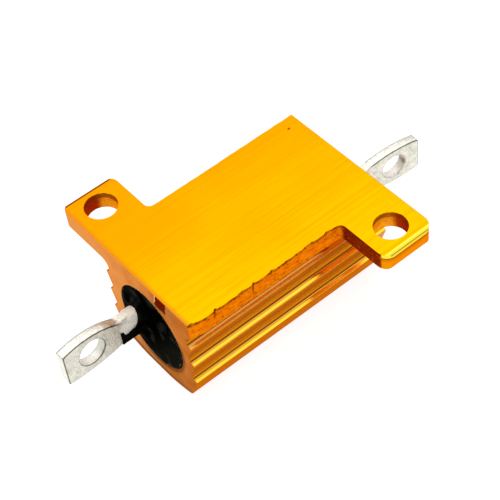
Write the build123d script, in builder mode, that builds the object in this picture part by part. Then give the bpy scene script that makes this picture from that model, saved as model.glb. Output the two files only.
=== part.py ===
from build123d import *
import os
from math import cos, hypot, radians, sin, sqrt

os.makedirs("parts", exist_ok=True)

# Frame: X runs along the housing, from the near end to the far end.
# Z points out of the mounting face, whose centre is the origin.
# The housing hangs below that face and lies on its crown.

# Housing, an aluminium extrusion cut to length
body_length = 19.4
body_height = 10.15
flange_half_width = 10.6
flange_thickness = 1.6
flange_top_rounding = 0.45
flange_bottom_rounding = 0.25
underside_fillet = 0.7

# Fins, which run the whole length of both flanks
fin_count = 3
fin_pitch = 2.1
first_fin_drop = 1.35
fin_root_half_width = 4.8
fin_depth = 0.47
fin_ledge_fall = 0.21
fin_slant_length = 1.35
fin_root_fillet = 0.45
fin_tip_rounding = 0.07

# Crown under the last fin, with a narrow flat along its middle to lie on
crown_radius = 13.8
crown_flat_width = 3.0
crown_half_width = 4.05
crown_corner_radius = 0.7

# Ears, left where the flange is not sheared off beside the fins
ear_length = 4.9
shear_margin_near = 0.4
shear_margin_far = 0.42
shear_slant_length = 1.3
shear_slant_depth = 0.28
ear_corner_radius = 0.95
ear_root_fillet = 0.55
ear_hole_diameter = 2.7
ear_hole_from_end = 2.4
ear_hole_from_edge = 2.15

# Bore for the element, a little nearer the crown than the mounting face
bore_radius = 3.72
bore_depth = 5.2
bore_lip_chamfer = 0.12

# Element: core, ribbon, caps and pins share one axis, askew in the compound
element_side_shift = 0.43
element_depth = 4.2
element_yaw = -4.0
element_inset = 1.6
compound_cover = 0.15

# End caps, drawn cups pressed on the core
cap_wall = 0.2
cap_base = 0.25
cap_skirt = 1.6
cap_corner_chamfer = 0.12

# Resistance ribbon, wound on the core between the caps
ribbon_width = 0.5
ribbon_thickness = 0.12
ribbon_turns = 9
ribbon_clearance = 0.03

# Terminals: a round pin, pressed flat to a lug with an eye
pin_diameter = 1.65
neck_length = 1.1
lug_joggle = 0.2
lug_eye_from_end = 2.5
lug_widest_share = 0.53

# Near lug: heights are above and below its middle line, at the neck, widest place and end
near_lug_from_body = 2.4
near_lug_turn = 6.9
near_lug_length = 5.15
near_lug_thickness = 0.88
near_lug_neck = (0.86, 1.58)
near_lug_widest = (1.77, 1.84)
near_lug_end = (1.54, 1.68)
near_lug_corner_radius = 0.12
near_lug_eye_diameter = 2.4

# Far lug, measured in the same way
far_lug_from_body = 1.9
far_lug_turn = -2.3
far_lug_length = 5.27
far_lug_thickness = 0.8
far_lug_neck = (1.2, 1.35)
far_lug_widest = (1.72, 1.7)
far_lug_end = (1.52, 1.46)
far_lug_corner_radius = 0.24
far_lug_eye_diameter = 2.15

# Compound: a meniscus round each pin, and what ran out below the near pin
meniscus_length = 0.45
meniscus_radius = 1.75
meniscus_bow = 0.7
collar_wall = 0.2
compound_root = 0.3
near_collar_bottom = 1.4
run_thickness = 1.05
run_height = 1.3
run_fall = 0.2

half_length = body_length / 2


# Housing: half outline from the middle of the mounting face down to the crown
fin_tip_half_width = fin_root_half_width + fin_depth
outline = [
    (0, 0),
    (flange_half_width, 0),
    (flange_half_width, -flange_thickness),
    (fin_root_half_width, -flange_thickness),
]
roundings = [flange_top_rounding, flange_bottom_rounding, underside_fillet]
for fin in range(fin_count):
    fin_tip_depth = flange_thickness + first_fin_drop + fin * fin_pitch
    outline.append((fin_root_half_width, fin_ledge_fall - fin_tip_depth))
    outline.append((fin_tip_half_width, -fin_tip_depth))
    roundings += [fin_root_fillet, fin_tip_rounding]
    if fin < fin_count - 1:
        outline.append((fin_root_half_width, -fin_tip_depth - fin_slant_length))
        roundings.append(fin_root_fillet)
outline.append((crown_half_width, -body_height))
roundings.append(0)
outline.append((0, -body_height))

# Plan of the housing once the flange is sheared: two ears at opposite corners, and
# a shallow slant at the near end, where the shear began
near_side = fin_tip_half_width + shear_margin_near
far_side = fin_tip_half_width + shear_margin_far
plan = [
    (-half_length, shear_slant_depth - near_side),
    (shear_slant_length - half_length, -near_side),
    (half_length - ear_length, -near_side),
    (half_length - ear_length, -flange_half_width),
    (half_length, -flange_half_width),
    (half_length, far_side),
    (ear_length - half_length, far_side),
    (ear_length - half_length, flange_half_width),
    (-half_length, flange_half_width),
]
plan_roundings = [
    0,
    0,
    ear_root_fillet,
    ear_corner_radius,
    ear_corner_radius,
    0,
    ear_root_fillet,
    ear_corner_radius,
    ear_corner_radius,
]
ear_hole_x = half_length - ear_hole_from_end
ear_hole_y = flange_half_width - ear_hole_from_edge

# The crown's arc would bottom out below its flat, by the rise over half the flat's width
crown_rise = crown_radius - sqrt(crown_radius**2 - (crown_flat_width / 2) ** 2)

with BuildPart() as housing:
    with BuildSketch(Plane.YZ.offset(-half_length)):
        with BuildLine():
            FilletPolyline(*outline, radius=roundings)
            mirror(about=Plane.YZ)
        make_face()
        with Locations((0, crown_radius - crown_rise - body_height)):
            Circle(crown_radius, mode=Mode.INTERSECT)
        fillet(vertices().group_by(Axis.Y)[1], crown_corner_radius)
        with Locations((0, -bore_depth)):
            Circle(bore_radius, mode=Mode.SUBTRACT)
    extrude(amount=body_length)
    with BuildSketch(Plane.XY):
        with BuildLine():
            FilletPolyline(*plan, radius=plan_roundings, close=True)
        make_face()
        with Locations((-ear_hole_x, ear_hole_y), (ear_hole_x, -ear_hole_y)):
            Circle(ear_hole_diameter / 2, mode=Mode.SUBTRACT)
    extrude(amount=-body_height, mode=Mode.INTERSECT)
    mouths = edges().filter_by(GeomType.CIRCLE).filter_by(lambda e: abs(e.radius - bore_radius) < 0.001)
    chamfer(mouths, bore_lip_chamfer)
housing.part.label = "housing"
export_step(housing.part, "parts/housing.step")


# Element axis: its plane's Z runs along the axis to the far end, and its Y points up
axis_direction = Vector(cos(radians(element_yaw)), sin(radians(element_yaw)), 0)
element_plane = Plane(
    origin=(0, element_side_shift, -element_depth),
    x_dir=(-axis_direction.Y, axis_direction.X, 0),
    z_dir=axis_direction,
)
element_half_length = half_length - element_inset


def on_axis(distance):
    """Point of the element's axis, at a distance from the middle of the body."""
    return element_plane.from_local_coords((0, 0, distance))


# The caps are as large as the compound round the element's worst placed end allows
end_offsets = [
    hypot(on_axis(end * half_length).Y, on_axis(end * half_length).Z + bore_depth) for end in (-1, 1)
]
cap_radius = bore_radius - max(end_offsets) - compound_cover
core_radius = cap_radius - cap_wall
core_half_length = element_half_length - cap_base

# Ceramic core: a plain ground rod
with BuildPart() as ceramic_core:
    with BuildSketch(element_plane.offset(-core_half_length)):
        Circle(core_radius)
    extrude(amount=2 * core_half_length)
ceramic_core.part.label = "ceramic_core"
export_step(ceramic_core.part, "parts/ceramic_core.step")


def make_cap(end):
    """One drawn cup on the core; end is -1 at the near end and 1 at the far end."""
    mouth = element_plane.offset(end * (element_half_length - cap_skirt))
    with BuildPart() as cap:
        with BuildSketch(mouth):
            Circle(cap_radius)
        extrude(amount=end * cap_skirt)
        chamfer(edges().filter_by(GeomType.CIRCLE).sort_by(Axis.X, reverse=end > 0)[0], cap_corner_chamfer)
        with BuildSketch(mouth):
            Circle(core_radius)
        extrude(amount=end * (cap_skirt - cap_base), mode=Mode.SUBTRACT)
    return cap.part


caps = {}
for cap_name, end in (("near_end_cap", -1), ("far_end_cap", 1)):
    caps[cap_name] = make_cap(end)
    caps[cap_name].label = cap_name
    export_step(caps[cap_name], f"parts/{cap_name}.step")


# Resistance winding: one ribbon in an open helix between the rims of the two caps
winding_length = 2 * (element_half_length - cap_skirt - ribbon_clearance) - ribbon_width
ribbon_radius = core_radius + ribbon_clearance + ribbon_thickness / 2
with BuildPart() as resistance_winding:
    with BuildLine():
        coil = Helix(
            pitch=winding_length / ribbon_turns,
            height=winding_length,
            radius=ribbon_radius,
            center=on_axis(-winding_length / 2),
            direction=axis_direction,
        )
    with BuildSketch(Plane(origin=coil @ 0, x_dir=axis_direction, z_dir=coil % 0)):
        Rectangle(ribbon_width, ribbon_thickness)
    sweep(path=coil, is_frenet=True)
resistance_winding.part.label = "resistance_winding"
export_step(resistance_winding.part, "parts/resistance_winding.step")


def lug_plane(end, from_body, turn):
    """Plane through the middle of a lug, at its neck: X points to the lug's end, Y up."""
    heading = (axis_direction * end).rotate(Axis.Z, turn)
    neck = on_axis(end * (half_length + from_body)) - Vector(0, lug_joggle, 0)
    return Plane(origin=neck, x_dir=heading, z_dir=heading.cross(Vector(0, 0, 1)))


def make_terminal(end, middle, from_body, length, thickness, neck, widest, tip, corner, eye):
    """One terminal: pin, pressed neck and eyed lug; end is -1 near and 1 far."""
    pin_start = element_plane.offset(end * element_half_length)
    pin_length = half_length + from_body - neck_length - element_half_length
    neck_plane = Plane(origin=middle.origin, x_dir=-middle.z_dir, z_dir=middle.x_dir)
    widest_from_neck = length * lug_widest_share
    with BuildPart() as terminal:
        with BuildSketch(pin_start):
            Circle(pin_diameter / 2)
        extrude(amount=end * pin_length)
        with BuildSketch(pin_start.offset(end * pin_length)):
            Circle(pin_diameter / 2)
        with BuildSketch(neck_plane):
            with Locations((0, (neck[0] - neck[1]) / 2)):
                Rectangle(thickness, sum(neck))
        loft()
        with BuildSketch(middle.offset(-thickness / 2)):
            with BuildLine():
                ThreePointArc((0, neck[0]), (widest_from_neck, widest[0]), (length, tip[0]))
                Line((length, tip[0]), (length, -tip[1]))
                ThreePointArc((length, -tip[1]), (widest_from_neck, -widest[1]), (0, -neck[1]))
                Line((0, -neck[1]), (0, neck[0]))
            make_face()
            fillet(vertices().group_by(Axis.X)[-1], corner)
            with Locations((length - lug_eye_from_end, 0)):
                Circle(eye / 2, mode=Mode.SUBTRACT)
        extrude(amount=thickness)
    return terminal.part


near_lug_plane = lug_plane(-1, near_lug_from_body, near_lug_turn)
near_terminal = make_terminal(
    -1,
    near_lug_plane,
    near_lug_from_body,
    near_lug_length,
    near_lug_thickness,
    near_lug_neck,
    near_lug_widest,
    near_lug_end,
    near_lug_corner_radius,
    near_lug_eye_diameter,
)
near_terminal.label = "near_terminal"
export_step(near_terminal, "parts/near_terminal.step")

far_lug_plane = lug_plane(1, far_lug_from_body, far_lug_turn)
far_terminal = make_terminal(
    1,
    far_lug_plane,
    far_lug_from_body,
    far_lug_length,
    far_lug_thickness,
    far_lug_neck,
    far_lug_widest,
    far_lug_end,
    far_lug_corner_radius,
    far_lug_eye_diameter,
)
far_terminal.label = "far_terminal"
export_step(far_terminal, "parts/far_terminal.step")


# Compound: cast round the finished element, so it follows every piece of it
collar_radius = pin_diameter / 2 + collar_wall
run_length = near_lug_from_body + compound_root
pocket_half_length = element_half_length - cap_skirt
pocket_radius = ribbon_radius + ribbon_thickness / 2 + ribbon_clearance


def axis_section(end):
    """Upright plane through the element axis: its origin is in the mouth of the bore, X points out."""
    outward = axis_direction * end
    return Plane(origin=on_axis(end * half_length), x_dir=outward, z_dir=outward.cross(Vector(0, 0, 1)))


# Near collar: the compound crept furthest along the underside of the pin
with BuildPart() as near_collar:
    with BuildSketch(element_plane.offset(-half_length - near_collar_bottom)):
        Circle(collar_radius)
    extrude(amount=near_collar_bottom + compound_root)
    with BuildSketch(axis_section(-1)):
        with BuildLine():
            Polyline(
                (-compound_root, collar_radius),
                (meniscus_length, collar_radius),
                (near_collar_bottom, -collar_radius),
                (-compound_root, -collar_radius),
                close=True,
            )
        make_face()
    extrude(amount=collar_radius, both=True, mode=Mode.INTERSECT)

with BuildPart() as compound:
    with BuildSketch(Plane.YZ.offset(-half_length)):
        with Locations((0, -bore_depth)):
            Circle(bore_radius)
    extrude(amount=body_length)
    for end in (-1, 1):
        with BuildSketch(axis_section(end)):
            with BuildLine():
                Polyline(
                    (meniscus_length, collar_radius),
                    (meniscus_length, 0),
                    (-compound_root, 0),
                    (-compound_root, meniscus_radius),
                    (0, meniscus_radius),
                )
                RadiusArc((0, meniscus_radius), (meniscus_length, collar_radius), -meniscus_bow)
            make_face()
        revolve(axis=Axis(on_axis(0), axis_direction))
    add(near_collar.part)
    with BuildSketch(near_lug_plane.offset(-run_thickness / 2)):
        with BuildLine():
            Polyline(
                (0, -near_lug_neck[1]),
                (0, run_height - near_lug_neck[1]),
                (-run_length, run_height - near_lug_neck[1]),
                (-run_length, -near_lug_neck[1] - run_fall),
                close=True,
            )
        make_face()
    extrude(amount=run_thickness)
    add(near_terminal, mode=Mode.SUBTRACT)
    add(far_terminal, mode=Mode.SUBTRACT)
    add(caps["near_end_cap"], mode=Mode.SUBTRACT)
    add(caps["far_end_cap"], mode=Mode.SUBTRACT)
    add(ceramic_core.part, mode=Mode.SUBTRACT)
    with BuildSketch(element_plane.offset(-pocket_half_length)):
        Circle(pocket_radius)
    extrude(amount=2 * pocket_half_length, mode=Mode.SUBTRACT)
compound.part.label = "compound"
export_step(compound.part, "parts/compound.step")
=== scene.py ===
import math

import bpy
from mathutils import Matrix, Vector, noise


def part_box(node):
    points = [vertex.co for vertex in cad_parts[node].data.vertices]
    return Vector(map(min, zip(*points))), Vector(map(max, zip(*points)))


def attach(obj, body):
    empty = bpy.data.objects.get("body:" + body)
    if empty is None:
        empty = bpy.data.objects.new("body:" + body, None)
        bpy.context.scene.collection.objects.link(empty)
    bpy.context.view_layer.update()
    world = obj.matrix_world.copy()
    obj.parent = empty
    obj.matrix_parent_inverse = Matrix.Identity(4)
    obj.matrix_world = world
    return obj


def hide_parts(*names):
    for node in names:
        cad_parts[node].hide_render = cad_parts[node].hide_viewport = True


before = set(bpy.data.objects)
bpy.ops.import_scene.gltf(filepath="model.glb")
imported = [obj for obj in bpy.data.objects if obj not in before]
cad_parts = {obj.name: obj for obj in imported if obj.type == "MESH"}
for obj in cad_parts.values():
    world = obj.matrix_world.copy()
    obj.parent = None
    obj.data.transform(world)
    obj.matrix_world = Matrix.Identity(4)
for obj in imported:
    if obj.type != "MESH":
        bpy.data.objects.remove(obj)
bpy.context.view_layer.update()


# Housing: a short length of aluminium extrusion with three fins on each flank, its
# flange sheared off beside the fins except for an ear at each of two corners. It is
# gold anodised after machining, so the sawn ends and sheared sides are coated too.

# Places in millimetres, from the middle of the mounting face
half_length = 9.7
hole_x, hole_y, hole_radius = 7.3, 8.45, 1.35
sheared_inner, sheared_outer = 5.37, 5.71
sheared_bottom = -1.61
ear_side = 4.85
flange_bottom = -1.62
first_tip, fin_pitch, last_tip = -2.95, 2.1, -7.15
bore_level = -5.2
crown_arc_level = 3.568

# Bevels of the sawn ends and of the hole rims
end_bevel, hole_bevel = 0.035, 0.03

# Nicks in the near sheared side: place along x, half width, depth, reach down in the
# mesh and reach down in the colour
nicks = (
    (-7.25, 0.12, 0.16, 0.9, 0.75),
    (-3.65, 0.15, 0.14, 0.7, 0.8),
    (-1.95, 0.20, 0.12, 0.4, 0.3),
)


def take_solid(node, name):
    """Start a piece from a CAD node's mesh: a welded copy, with flat faces made whole."""
    bpy.ops.object.select_all(action="DESELECT")
    mesh = bpy.data.objects[node].data.copy()
    piece = bpy.data.objects.new(name, mesh)
    mesh.name = name
    bpy.context.collection.objects.link(piece)
    bpy.context.view_layer.objects.active = piece
    piece.select_set(True)
    bpy.ops.object.mode_set(mode="EDIT")
    bpy.ops.mesh.select_all(action="SELECT")
    bpy.ops.mesh.remove_doubles(threshold=2e-7)
    bpy.ops.mesh.customdata_custom_splitnormals_clear()
    bpy.ops.mesh.dissolve_limited(angle_limit=math.radians(0.5))
    bpy.ops.object.mode_set(mode="OBJECT")
    return piece


def round_edges(piece, width, wanted, clamped=True):
    """Bevel the piece's sharp edges where wanted(point) is true; they take its second finish."""
    mesh = piece.data
    bpy.ops.object.mode_set(mode="EDIT")
    bpy.ops.mesh.select_mode(type="EDGE")
    bpy.ops.mesh.select_all(action="DESELECT")
    bpy.ops.mesh.edges_select_sharp(sharpness=math.radians(50))
    bpy.ops.object.mode_set(mode="OBJECT")
    for edge in mesh.edges:
        if edge.select and not all(wanted(mesh.vertices[v].co * 1000.0) for v in edge.vertices):
            edge.select = False
    bpy.ops.object.mode_set(mode="EDIT")
    bpy.ops.mesh.bevel(
        offset=width * 1e-3, offset_type="OFFSET", segments=2, clamp_overlap=clamped, material=1
    )
    bpy.ops.object.mode_set(mode="OBJECT")


def divide(piece, wanted, cuts):
    """Divide the piece's edges where wanted(first, second) is true, with their faces."""
    mesh = piece.data
    bpy.ops.object.mode_set(mode="EDIT")
    bpy.ops.mesh.select_mode(type="EDGE")
    bpy.ops.mesh.select_all(action="DESELECT")
    bpy.ops.object.mode_set(mode="OBJECT")
    for edge in mesh.edges:
        edge.select = wanted(*(mesh.vertices[v].co * 1000.0 for v in edge.vertices))
    bpy.ops.object.mode_set(mode="EDIT")
    bpy.ops.mesh.subdivide(number_cuts=cuts)
    bpy.ops.object.mode_set(mode="OBJECT")


def towards_ear(point):
    """How far a point lies from the middle towards the ear on its own long side."""
    return point.x * math.copysign(1.0, -point.y)


def on_sheared_side(point):
    """True on either long side that the shear left."""
    across = sheared_inner < abs(point.y) < sheared_outer and point.z > sheared_bottom
    return across and -half_length - 0.01 < towards_ear(point) < ear_side


def along(first, second):
    """True for a long edge of a sheared side."""
    return on_sheared_side(first) and on_sheared_side(second) and abs(first.x - second.x) > 1.0


def upright(first, second):
    """True for an edge that crosses a sheared side from top to bottom."""
    return on_sheared_side(first) and on_sheared_side(second) and abs(first.z - second.z) > 1.5


def torn_depth(point):
    """How far the shear tore a sheared side inwards at a point, in millimetres."""
    upper = max(0.0, 1.0 + point.z / 0.55)
    ragged = max(0.0, noise.noise(Vector((point.x * 1.4, point.y, 0.0))) + 0.15)
    scratched = noise.noise(Vector((point.x * 3.5, point.y, point.z * 1.2)))
    depth = 0.035 + 0.035 * scratched + 0.16 * ragged * upper
    for at, half_width, deep, drop, _ in nicks:
        if point.y < 0 and point.z > -drop:
            depth += deep * math.exp(-(((point.x - at) / half_width) ** 2)) * (1.0 + point.z / drop)
    cleaner = 1.0 if point.y < 0 else 0.3
    fading = min(1.0, max(0.0, (4.3 - towards_ear(point)) / 0.6))
    return depth * cleaner * fading


def on_end_edge(point):
    """True round the outline of either sawn end."""
    return abs(abs(point.x) - half_length) < 0.001


def on_hole_rim(point):
    """True round the top of either ear's hole."""
    from_middle = math.hypot(abs(point.x) - hole_x, abs(point.y) - hole_y)
    return abs(from_middle - hole_radius) < 0.02 and point.z > -0.001


def wear(piece, *finishes):
    """Give a piece its finishes, in place of the ones that came with its CAD node."""
    piece.data.materials.clear()
    for finish in finishes:
        piece.data.materials.append(finish)


def show(piece, node, crease_deg=35):
    """Clear a finished piece's slivers, shade it and let it stand for its CAD node."""
    bpy.ops.object.select_all(action="DESELECT")
    bpy.context.view_layer.objects.active = piece
    piece.select_set(True)
    bpy.ops.object.mode_set(mode="EDIT")
    bpy.ops.mesh.select_all(action="SELECT")
    bpy.ops.mesh.remove_doubles(threshold=2e-6)
    bpy.ops.mesh.dissolve_degenerate(threshold=2e-6)
    bpy.ops.object.mode_set(mode="OBJECT")
    bpy.ops.object.shade_smooth_by_angle(angle=math.radians(crease_deg))
    flat_faces = piece.modifiers.new("flat_faces", "WEIGHTED_NORMAL")
    flat_faces.keep_sharp = True
    bpy.ops.object.modifier_apply(modifier=flat_faces.name)
    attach(piece, "root")
    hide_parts(node)


def rgb(red, green, blue):
    """A colour in linear light."""
    return (red, green, blue, 1.0)


class Wire:
    """An output in a material's node tree; arithmetic on wires adds Math nodes."""

    def __init__(self, tree, socket=None):
        self.tree = tree
        self.socket = socket

    def node(self, kind, settings, inputs, output=0):
        """Add a node with its settings, then its sockets' values or links."""
        made = self.tree.nodes.new(kind)
        for key, value in settings.items():
            if key == "stops":
                ramp = made.color_ramp
                while len(ramp.elements) < len(value):
                    ramp.elements.new(0.5)
                for element, (at, colour) in zip(ramp.elements, value):
                    element.position = at
                    element.color = colour
            else:
                setattr(made, key, value)
        for key, value in inputs.items():
            if isinstance(value, Wire):
                self.tree.links.new(value.socket, made.inputs[key])
            else:
                made.inputs[key].default_value = value
        return Wire(self.tree, made.outputs[output] if made.outputs else None)

    def math(self, operation, first, second=0.0):
        """A Math node on one value or two."""
        return self.node("ShaderNodeMath", {"operation": operation}, {0: first, 1: second})

    def __add__(self, other):
        return self.math("ADD", self, other)

    def __sub__(self, other):
        return self.math("SUBTRACT", self, other)

    def __rsub__(self, other):
        return self.math("SUBTRACT", other, self)

    def __mul__(self, other):
        return self.math("MULTIPLY", self, other)

    def __abs__(self):
        return self.math("ABSOLUTE", self)

    __radd__ = __add__

    def axes(self):
        """The x, y and z of this position."""
        return [self.node("ShaderNodeSeparateXYZ", {}, {0: self}, axis) for axis in "XYZ"]

    def over(self, level, blur):
        """A mask that rises from 0 to 1 as the value passes the level."""
        return self.node(
            "ShaderNodeMapRange",
            {"interpolation_type": "SMOOTHSTEP"},
            {"Value": self, "From Min": level - blur, "From Max": level + blur},
        )

    def under(self, level, blur):
        """A mask that falls from 1 to 0 as the value passes the level."""
        return 1 - self.over(level, blur)

    def within(self, middle, reach, blur):
        """A mask that is 1 where the value lies within reach of the middle."""
        return abs(self - middle).under(reach, blur)

    def mix(self, first, second):
        """Two colours mixed by this value: the first at 0, the second at 1."""
        return self.node(
            "ShaderNodeMix",
            {"data_type": "RGBA"},
            {0: self, 6: first, 7: second},
            output=2,
        )

    def noise(self, scale, detail=3.0, roughness=0.6):
        """Noise over this position, with a scale for each axis, from about 0 to 1."""
        stretched = self.node("ShaderNodeMapping", {}, {"Vector": self, "Scale": scale})
        return self.node(
            "ShaderNodeTexNoise",
            {},
            {"Vector": stretched, "Scale": 1.0, "Detail": detail, "Roughness": roughness},
        )


def new_finish(name):
    """A material, its empty tree and the position in millimetres."""
    material = bpy.data.materials.new(name)
    material.use_nodes = True
    material.node_tree.nodes.clear()
    tree = Wire(material.node_tree)
    metres = tree.node("ShaderNodeTexCoord", {}, {}, "Object")
    place = tree.node("ShaderNodeVectorMath", {"operation": "SCALE"}, {0: metres, "Scale": 1000.0})
    return material, tree, place


def raised(tree, relief):
    """The normal of a surface with this relief, in millimetres."""
    return tree.node("ShaderNodeBump", {}, {"Height": relief, "Distance": 0.001, "Strength": 1.0})


def end_finish(tree, sockets):
    """Close a material with its shader."""
    shader = tree.node("ShaderNodeBsdfPrincipled", {}, sockets)
    tree.node("ShaderNodeOutputMaterial", {}, {"Surface": shader})


gold, tree, place = new_finish("gold_anodised")
x, y, z = place.axes()
far_side = y.over(0.0, 1.0)
near_end = x.under(-9.5, 0.1)
on_end = abs(x).over(half_length - 0.028, 0.008)
on_face = z.over(-0.02, 0.012)
on_cut = (
    abs(y).over(5.28, 0.01)
    * abs(y).under(10.0, 0.1)
    * z.over(-1.585, 0.01)
    * z.under(-0.012, 0.008)
    * (1 - on_end)
)
in_hole = (
    abs(x).within(hole_x, hole_radius + 0.02, 0.01)
    * abs(y).within(hole_y, hole_radius + 0.02, 0.01)
    * z.under(-0.065, 0.008)
)

# Mounting face: fine drawing lines along the length over a slow random drift of tone,
# and painted shade that deepens its yellow towards the far side
yellow = rgb(0.93, 0.53, 0.0)
deep_yellow = rgb(0.93, 0.335, 0.0)
amber = rgb(0.84, 0.27, 0.0)
fine_lines = place.noise((0.09, 9.0, 3.0), 4.0, 0.7)
broad_lines = place.noise((0.05, 3.2, 2.0), 3.0, 0.6)
drift = place.noise((0.11, 0.10, 0.2), 1.0)
patches = place.noise((0.12, 0.25, 0.2), 2.0).over(0.5, 0.2) * 0.4 + 0.35
lines = (fine_lines * 0.6 + broad_lines * 0.4).over(0.53, 0.16) * patches
far_left = (y * 0.055 + drift * 0.6).over(0.28, 0.6)
face_colour = far_left.mix(yellow, deep_yellow)
face_colour = lines.mix(face_colour, amber)

# Its far rim and the near end's rim turn away from the light, and a nick marks its far corner
far_rim = y.over(10.18, 0.07)
near_rim = x.under(-9.42, 0.2) * 0.85
nick = x.within(8.5, 0.14, 0.05) * y.within(4.6, 0.07, 0.04)
face_colour = far_rim.mix(face_colour, rgb(0.40, 0.12, 0.0))
face_colour = near_rim.mix(face_colour, rgb(0.66, 0.22, 0.01))
face_colour = nick.mix(face_colour, rgb(0.22, 0.04, 0.0))

# Fins: light and shade painted on, from each tip down over the slant to the groove,
# which is painted in shade with a painted dark and pale line, and out along the next
# ledge, which looks lightest
below_tip = tree.math("FRACT", (z - first_tip) * (-1 / fin_pitch))
fin_colour = below_tip.node(
    "ShaderNodeValToRGB",
    {
        "stops": (
            (0.0, rgb(1.0, 0.52, 0.01)),
            (0.28, rgb(1.0, 0.46, 0.005)),
            (0.42, rgb(1.0, 0.54, 0.02)),
            (0.74, rgb(1.0, 0.50, 0.02)),
            (0.82, rgb(0.55, 0.13, 0.002)),
            (0.885, rgb(0.40, 0.08, 0.002)),
            (0.915, rgb(0.90, 0.50, 0.08)),
            (0.938, rgb(0.50, 0.17, 0.01)),
            (0.955, rgb(0.94, 0.43, 0.028)),
            (0.99, rgb(0.94, 0.43, 0.028)),
            (1.0, rgb(0.80, 0.40, 0.01)),
        )
    },
    {0: below_tip},
)
on_fins = z.over(last_tip, 0.02) * z.under(-1.7, 0.02) * (1 - on_end)
slant = below_tip.under(0.76, 0.05) * on_fins
# The first ledge lies in the flange's shadow and is painted darker, a painted shade
shaded_first_ledge = z.over(first_tip - 0.02, 0.01) * z.under(-2.7, 0.03) * 0.8
# Just under the last fin the crown is painted in shade; lower down it is lighter
crown_colour = z.over(-7.4, 0.12).mix(rgb(0.92, 0.33, 0.0), rgb(0.50, 0.17, 0.0))
flank_colour = z.over(last_tip - 0.02, 0.01).mix(crown_colour, fin_colour)
flank_colour = shaded_first_ledge.mix(flank_colour, rgb(0.58, 0.25, 0.06))

# Flange edges: painted light over the rounding, with a painted dark line and painted shade
# below it; on the far side the rounding is painted in shade
rounding = z.over(-0.40, 0.02)
dark_line = z.within(-0.47, 0.08, 0.03)
shade = z.within(-0.68, 0.1, 0.08) * 0.6
far_rounding = far_side * z.over(-0.5, 0.04)
rim_colour = rounding.mix(rgb(0.76, 0.24, 0.005), rgb(0.99, 0.74, 0.06))
rim_colour = dark_line.mix(rim_colour, rgb(0.34, 0.09, 0.0))
rim_colour = shade.mix(rim_colour, rgb(0.46, 0.13, 0.0))
rim_colour = far_rounding.mix(rim_colour, rgb(0.42, 0.14, 0.0))
flank_colour = z.over(flange_bottom, 0.01).mix(flank_colour, rim_colour)

# Both keep the faint lines of the extrusion die
die_lines = place.noise((0.05, 15.0, 15.0), 2.0, 0.5).over(0.55, 0.12) * 0.4
flank_colour = die_lines.mix(flank_colour, rgb(0.64, 0.25, 0.008))

# Sawn ends: dull, with the faint arcs of the blade, and darker towards the crown
arcs = place.node("ShaderNodeMapping", {}, {"Vector": place, "Location": (0.0, 26.0, 14.0)})
saw = arcs.node(
    "ShaderNodeTexWave",
    {"wave_type": "RINGS", "rings_direction": "X"},
    {"Vector": arcs, "Scale": 2.3, "Distortion": 2.5, "Detail": 3.0},
)
blotches = place.noise((0.7, 0.7, 0.7), 5.0)
sawn_tone = (saw * 0.12 + blotches * 0.6 - y * 0.035).over(0.42, 0.35)
sawn_colour = sawn_tone.mix(rgb(0.77, 0.385, 0.165), rgb(0.50, 0.155, 0.028))
below_arc_middle = z - crown_arc_level
from_arc_middle_squared = y * y + below_arc_middle * below_arc_middle
crown_edge = from_arc_middle_squared.over(178.0, 11.0) * (y.over(-2.0, 2.5) * 0.5 + 0.3)
sawn_colour = crown_edge.mix(sawn_colour, rgb(0.20, 0.055, 0.01))

# A dent in the thin wall over the near end of the bore, only painted: painted shade in it
# and a painted highlight on its pale lip
ragged = place.noise((2.5, 2.5, 2.5), 4.0) * 0.9
across_wall = y + z * 0.25 + ragged * 0.3
dent = across_wall.within(-2.05, 0.62, 0.07) * (z + ragged).over(-0.85, 0.12) * near_end
lip = across_wall.within(-1.36, 0.05, 0.03) * (z + ragged).over(-0.7, 0.12) * near_end
sawn_colour = dent.mix(sawn_colour, rgb(0.16, 0.022, 0.002))
sawn_colour = lip.mix(sawn_colour, rgb(0.90, 0.66, 0.45))

# The bore's chamfer, and a dark patch round its lower right
above_bore = z - bore_level
from_bore_squared = y * y + above_bore * above_bore
lower_right = (0 - y - above_bore).over(2.4, 1.6)
bore_edge = from_bore_squared.under(15.2, 0.2)
dark_patch = from_bore_squared.under(17.0, 1.8) * lower_right * (ragged.over(0.38, 0.08) * 0.5 + 0.5)
flank_colour = bore_edge.mix(flank_colour, rgb(0.12, 0.045, 0.015))
sawn_colour = (dark_patch * near_end * 0.8).mix(sawn_colour, rgb(0.09, 0.05, 0.035))

# Sheared sides: torn metal with dark pits, painted shade along its torn top, a painted
# highlight on the burr and a painted dark fringe of shade along its top
tear = place.noise((1.2, 1.2, 3.5), 6.0, 0.7)
pits = place.noise((2.6, 2.6, 5.0), 5.0, 0.75).over(0.60, 0.05)
torn_top = z.over(-0.24, 0.04) * tear.over(0.47, 0.12) * 0.8
burr = z.over(-0.09, 0.02) * 0.7
fringe = z.over(-0.3, 0.14) * place.noise((4.0, 3.0, 3.0), 3.0, 0.7).over(0.53, 0.06) * 0.8
cut_colour = tear.over(0.5, 0.2).mix(rgb(0.95, 0.30, 0.003), rgb(0.80, 0.17, 0.003))
cut_colour = (pits * 0.7).mix(cut_colour, rgb(0.40, 0.05, 0.002))
cut_colour = torn_top.mix(cut_colour, rgb(0.36, 0.07, 0.0))
cut_colour = burr.mix(cut_colour, rgb(0.98, 0.52, 0.02))
cut_colour = fringe.mix(cut_colour, rgb(0.20, 0.03, 0.0))
# Painted shade darkens each nick on the near side
for at, _, _, _, drop in nicks:
    nick_shade = (x - z * 0.25).within(at, 0.07, 0.05) * z.over(-drop, 0.15) * (1 - far_side) * 0.85
    cut_colour = nick_shade.mix(cut_colour, rgb(0.10, 0.01, 0.0))

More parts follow.
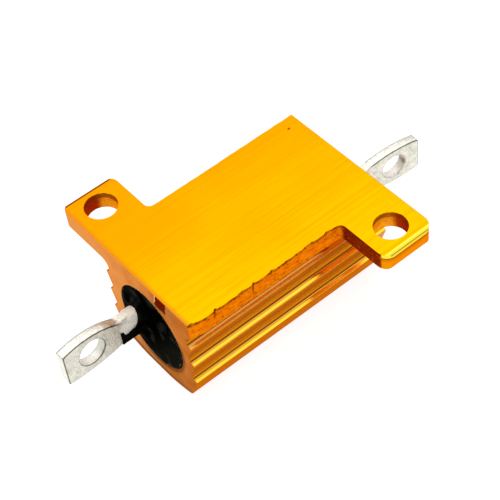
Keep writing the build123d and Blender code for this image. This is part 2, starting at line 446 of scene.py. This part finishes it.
# The ears' inner flanks: painted shade, maroon with pale flecks
ear_flank = abs(y).over(5.9, 0.15) * abs(x).under(6.0, 0.2) * 0.92
flecks = place.noise((3.0, 3.0, 5.0), 4.0, 0.7).over(0.60, 0.06) * 0.7
maroon = flecks.mix(rgb(0.25, 0.022, 0.002), rgb(0.62, 0.16, 0.06))
cut_colour = ear_flank.mix(cut_colour, maroon)

# Holes: painted light towards the middle of the part, painted shade outwards, and painted
# shade along the top of each wall
outwards = (
    (abs(x) - hole_x) * 0.77
    + (abs(y) - hole_y) * 0.64
    + place.noise((1.5, 1.5, 0.4), 2.0) * 0.8
)
hole_top_shade = (z + place.noise((1.2, 1.2, 1.2), 3.0) * 0.3).over(-0.38, 0.05) * 0.7
hole_colour = outwards.over(0.75, 0.3).mix(rgb(0.94, 0.38, 0.02), rgb(0.46, 0.05, 0.0))
hole_colour = hole_top_shade.mix(hole_colour, rgb(0.30, 0.06, 0.0))

colour = on_face.mix(flank_colour, face_colour)
colour = on_end.mix(colour, sawn_colour)
colour = on_cut.mix(colour, cut_colour)
colour = in_hole.mix(colour, hole_colour)
dull = 0.17 + on_face * 0.22 + on_end * 0.38 + on_cut * 0.33 + (fine_lines - 0.5) * 0.12
relief = fine_lines * 0.005 * on_face + saw * 0.003 * on_end + (tear * 0.12 - pits * 0.05) * on_cut
end_finish(
    tree,
    {
        "Base Color": colour,
        "Metallic": 1 - slant * 0.5,
        "Roughness": dull,
        "Specular Tint": rgb(1.0, 0.42, 0.0),
        "Normal": raised(tree, relief),
    },
)

housing = take_solid("housing", "anodised_housing")
wear(housing, gold, gold)
divide(housing, along, 140)
divide(housing, upright, 9)
for vertex in housing.data.vertices:
    point = vertex.co * 1000.0
    if on_sheared_side(point):
        vertex.co.y -= math.copysign(torn_depth(point) * 1e-3, point.y)
round_edges(housing, end_bevel, on_end_edge)
round_edges(housing, hole_bevel, on_hole_rim)
show(housing, "housing")


# Compound: black silicone cement poured round the element to fill the bore. It wets
# the pins, so a meniscus climbs each, and at the near end it crept out under the pin.

black, tree, place = new_finish("black_compound")
_, y, z = place.axes()
lumps = place.noise((0.9, 0.9, 0.9), 3.0, 0.5)
grit = place.noise((14.0, 14.0, 14.0), 4.0, 0.7)
# Greenish patches that lighten the black are a painted sheen
painted_sheen = place.noise((0.45, 0.45, 0.45), 2.0).over(0.56, 0.12) * 0.7
above_bore = z - bore_level
at_rim = (y * y + above_bore * above_bore).over(12.4, 0.8)
lower_right = (0 - y - above_bore).over(2.2, 2.0)
dust = place.noise((5.0, 5.0, 5.0), 3.0).over(0.60, 0.05) * at_rim * (lower_right * 0.7 + 0.3)
colour = grit.over(0.66, 0.1).mix(rgb(0.0015, 0.0012, 0.001), rgb(0.007, 0.008, 0.006))
colour = painted_sheen.mix(colour, rgb(0.016, 0.019, 0.013))
colour = (lower_right * 0.8).mix(colour, rgb(0.019, 0.021, 0.013))
colour = (dust * 0.8).mix(colour, rgb(0.30, 0.28, 0.24))
end_finish(
    tree,
    {
        "Base Color": colour,
        "Roughness": 0.25 + grit * 0.2,
        "Specular IOR Level": 0.0,
        "Coat Weight": lumps.over(0.6, 0.1) * 0.06,
        "Coat Roughness": 0.3,
        "Normal": raised(tree, lumps * 0.25 + grit * 0.012),
    },
)

compound = take_solid("compound", "potting_compound")
wear(compound, black)
show(compound, "compound", crease_deg=50)


# Terminals: round pins of a tinned alloy, pressed flat outside the compound to lugs
# and punched with an eye. Pressing leaves a fine grain; the lugs' edges are painted dark,
# a painted reflection.

lug_starts = 12.0
lug_bevel = 0.08

# Each lug's middle plane: a point on it, and the normal to it in plan
near_lug_x, near_lug_y, near_normal = -14.717, 0.94, (0.0506, -0.9987)
far_lug_x, far_lug_y, far_normal = 14.325, -0.883, (0.1097, 0.994)

# Both eyes lie as far from a plane between them, a little off the middle
eyes_middle_x, eye_from_middle, eye_level = -0.196, 14.521, -4.2


def tinned_finish(name, light, dark):
    """Tinned metal with a pressed grain, between a light and a dark tone."""
    finish, tree, place = new_finish(name)
    x, y, z = place.axes()
    far = x.over(0.0, 1.0)
    pin = abs(x).under(lug_starts, 0.3)
    across_near = (x - near_lug_x) * near_normal[0] + (y - near_lug_y) * near_normal[1]
    across_far = (x - far_lug_x) * far_normal[0] + (y - far_lug_y) * far_normal[1]
    narrow_side = abs(across_near * (1 - far) + across_far * far).under(0.33, 0.02)
    outwards = abs(x - eyes_middle_x) - eye_from_middle
    upwards = z - eye_level
    eye = (outwards * outwards + upwards * upwards).under(1.46, 0.02)
    dents = place.noise((1.6, 1.6, 1.6), 4.0, 0.6)
    grain = place.noise((7.0, 7.0, 7.0), 5.0, 0.7)
    specks = place.noise((8.0, 8.0, 8.0), 2.0).over(0.63, 0.04) * 0.6
    # A brown spot at the far eye's rim is a painted reflection of the housing's orange end
    painted_reflection_spot = x.within(15.28, 0.16, 0.16) * z.within(-4.25, 0.2, 0.25) * 0.95
    colour = (grain * 0.6 + dents * 0.5).over(0.55, 0.2).mix(light, dark)
    colour = (pin * 0.85).mix(colour, rgb(1.0, 0.96, 0.84))
    colour = (narrow_side * (1 - pin) * 0.5).mix(colour, rgb(0.95, 0.94, 0.85))
    colour = (eye * 0.85).mix(colour, rgb(0.97, 0.95, 0.87))
    colour = specks.mix(colour, rgb(0.30, 0.29, 0.24))
    colour = painted_reflection_spot.mix(colour, rgb(0.27, 0.12, 0.01))
    end_finish(
        tree,
        {
            "Base Color": colour,
            "Metallic": 1 - pin * 0.65 - eye * 0.8,
            "Roughness": 0.26 + grain * 0.2 + pin * 0.04,
            "Normal": raised(tree, dents * 0.06 + grain * 0.03),
        },
    )
    return finish


tinned = tinned_finish("tinned_lug", rgb(0.87, 0.855, 0.76), rgb(0.52, 0.505, 0.41))
# The lugs' bevelled edges take this dark finish, a painted dark reflection
dark_edge_reflection = tinned_finish("lug_edge_painted_reflection", rgb(0.22, 0.21, 0.17), rgb(0.10, 0.095, 0.075))
for end in ("near", "far"):
    terminal = take_solid(f"{end}_terminal", f"{end}_tinned_terminal")
    wear(terminal, tinned, dark_edge_reflection)
    round_edges(terminal, lug_bevel, lambda point: abs(point.x) > lug_starts, clamped=False)
    show(terminal, f"{end}_terminal")


# Core: a ground ceramic rod that the resistance ribbon is wound on. It lies in the
# middle of the compound and keeps the mesh of its CAD node.


def finish_node(node, material):
    """Give a CAD node that is shown as it is the finish of the real piece."""
    for slot in bpy.data.objects[node].material_slots:
        slot.material = material


ceramic, tree, place = new_finish("ground_ceramic")
pores = place.noise((6.0, 6.0, 6.0), 4.0, 0.6)
colour = pores.over(0.6, 0.1).mix(rgb(0.80, 0.78, 0.72), rgb(0.66, 0.63, 0.56))
end_finish(tree, {"Base Color": colour, "Roughness": 0.55 + pores * 0.3})
finish_node("ceramic_core", ceramic)


# Winding: a flat ribbon of rolled resistance alloy, wound round the core from cap to
# cap and buried with it.

ribbon, tree, place = new_finish("resistance_ribbon")
rolled = place.noise((12.0, 12.0, 12.0), 4.0, 0.7)
colour = rolled.over(0.5, 0.3).mix(rgb(0.40, 0.37, 0.33), rgb(0.28, 0.24, 0.20))
end_finish(tree, {"Base Color": colour, "Metallic": 1.0, "Roughness": 0.35 + rolled * 0.25})
finish_node("resistance_winding", ribbon)


# End caps: drawn and plated steel cups, pressed on the core's ends. Each joins the
# ribbon to its pin, which is welded to it.

plated, tree, place = new_finish("plated_cap")
drawn = place.noise((0.8, 8.0, 8.0), 4.0, 0.7)
colour = drawn.over(0.5, 0.3).mix(rgb(0.62, 0.60, 0.55), rgb(0.50, 0.48, 0.43))
end_finish(tree, {"Base Color": colour, "Metallic": 1.0, "Roughness": 0.3 + drawn * 0.2})
finish_node("near_end_cap", plated)
finish_node("far_end_cap", plated)


# Studio: a white table under five soft boxes, in a dim room that looks white to the
# camera. The table glows where the camera looks, which leaves only a faint shadow.

crown_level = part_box("housing")[0].z
bpy.ops.mesh.primitive_plane_add(size=4.0, location=(0.0, 0.0, crown_level))
table = bpy.context.object
table.name = "table"
white, tree, place = new_finish("white_table")
x, y, _ = place.axes()
seen, mirrored, through = (
    tree.node("ShaderNodeLightPath", {}, {}, kind)
    for kind in ("Is Camera Ray", "Is Glossy Ray", "Is Transmission Ray")
)
distance = place.node("ShaderNodeVectorMath", {"operation": "LENGTH"}, {0: place}, "Value")
near_by = distance.under(70.0, 60.0)
# Reflections of the table are darkened under the part, a painted shadow
shadow_under_part = abs(y).under(7.0, 3.0) * abs(x).under(12.0, 4.0)
reflected = mirrored * (near_by * 0.85 + 0.15) * (1 - shadow_under_part * 0.5)
glow = (seen + through) * 0.84 + reflected * 0.94
matt = tree.node("ShaderNodeBsdfDiffuse", {}, {"Color": rgb(0.30, 0.30, 0.30)})
lit = tree.node("ShaderNodeEmission", {}, {"Color": glow, "Strength": 1.0})
both = tree.node("ShaderNodeAddShader", {}, {0: matt, 1: lit})
tree.node("ShaderNodeOutputMaterial", {}, {"Surface": both})
table.data.materials.append(white)

world = bpy.data.worlds.new("studio")
bpy.context.scene.world = world
world.use_nodes = True
world.node_tree.nodes.clear()
tree = Wire(world.node_tree)
seen = tree.node("ShaderNodeLightPath", {}, {}, "Is Camera Ray")
room = tree.node("ShaderNodeBackground", {}, {"Color": seen * 0.6 + 0.4, "Strength": 1.0})
tree.node("ShaderNodeOutputWorld", {}, {"Surface": room})


def soft_box(name, width, depth, hangs, watts):
    """A level rectangular soft light over the table."""
    lamp = bpy.data.lights.new(name, "AREA")
    lamp.shape = "RECTANGLE"
    lamp.size = width
    lamp.size_y = depth
    lamp.energy = watts
    holder = bpy.data.objects.new(name, lamp)
    bpy.context.collection.objects.link(holder)
    holder.location = hangs


soft_box("behind_part", 0.54, 0.60, (0.25, 0.30, 0.34), 1.0)
soft_box("behind_left", 0.40, 0.50, (-0.22, 0.28, 0.34), 0.95)
soft_box("over_fins", 0.50, 0.22, (0.137, -0.08, 0.34), 0.55)
soft_box("in_front", 0.60, 0.32, (0.15, -0.37, 0.34), 0.57)
soft_box("by_the_camera", 0.30, 0.30, (-0.30, -0.18, 0.34), 0.17)

# Camera: where the photograph was taken from, as fitted to the part's outlines
camera_data = bpy.data.cameras.new("camera")
camera_data.lens = 108.0
camera_data.sensor_width = 36.0
camera = bpy.data.objects.new("camera", camera_data)
bpy.context.collection.objects.link(camera)
right = Vector((0.76588649, -0.63740142, -0.08448264))
down = Vector((-0.52950417, -0.55071809, -0.6452402))
forward = Vector((0.36475091, 0.53891466, -0.75929425))
turn = Matrix((right, -down, -forward)).transposed()
camera.matrix_world = Matrix.Translation((-0.04243, -0.06296, 0.08452)) @ turn.to_4x4()
bpy.context.scene.camera = camera

bpy.context.scene.view_settings.view_transform = "Standard"
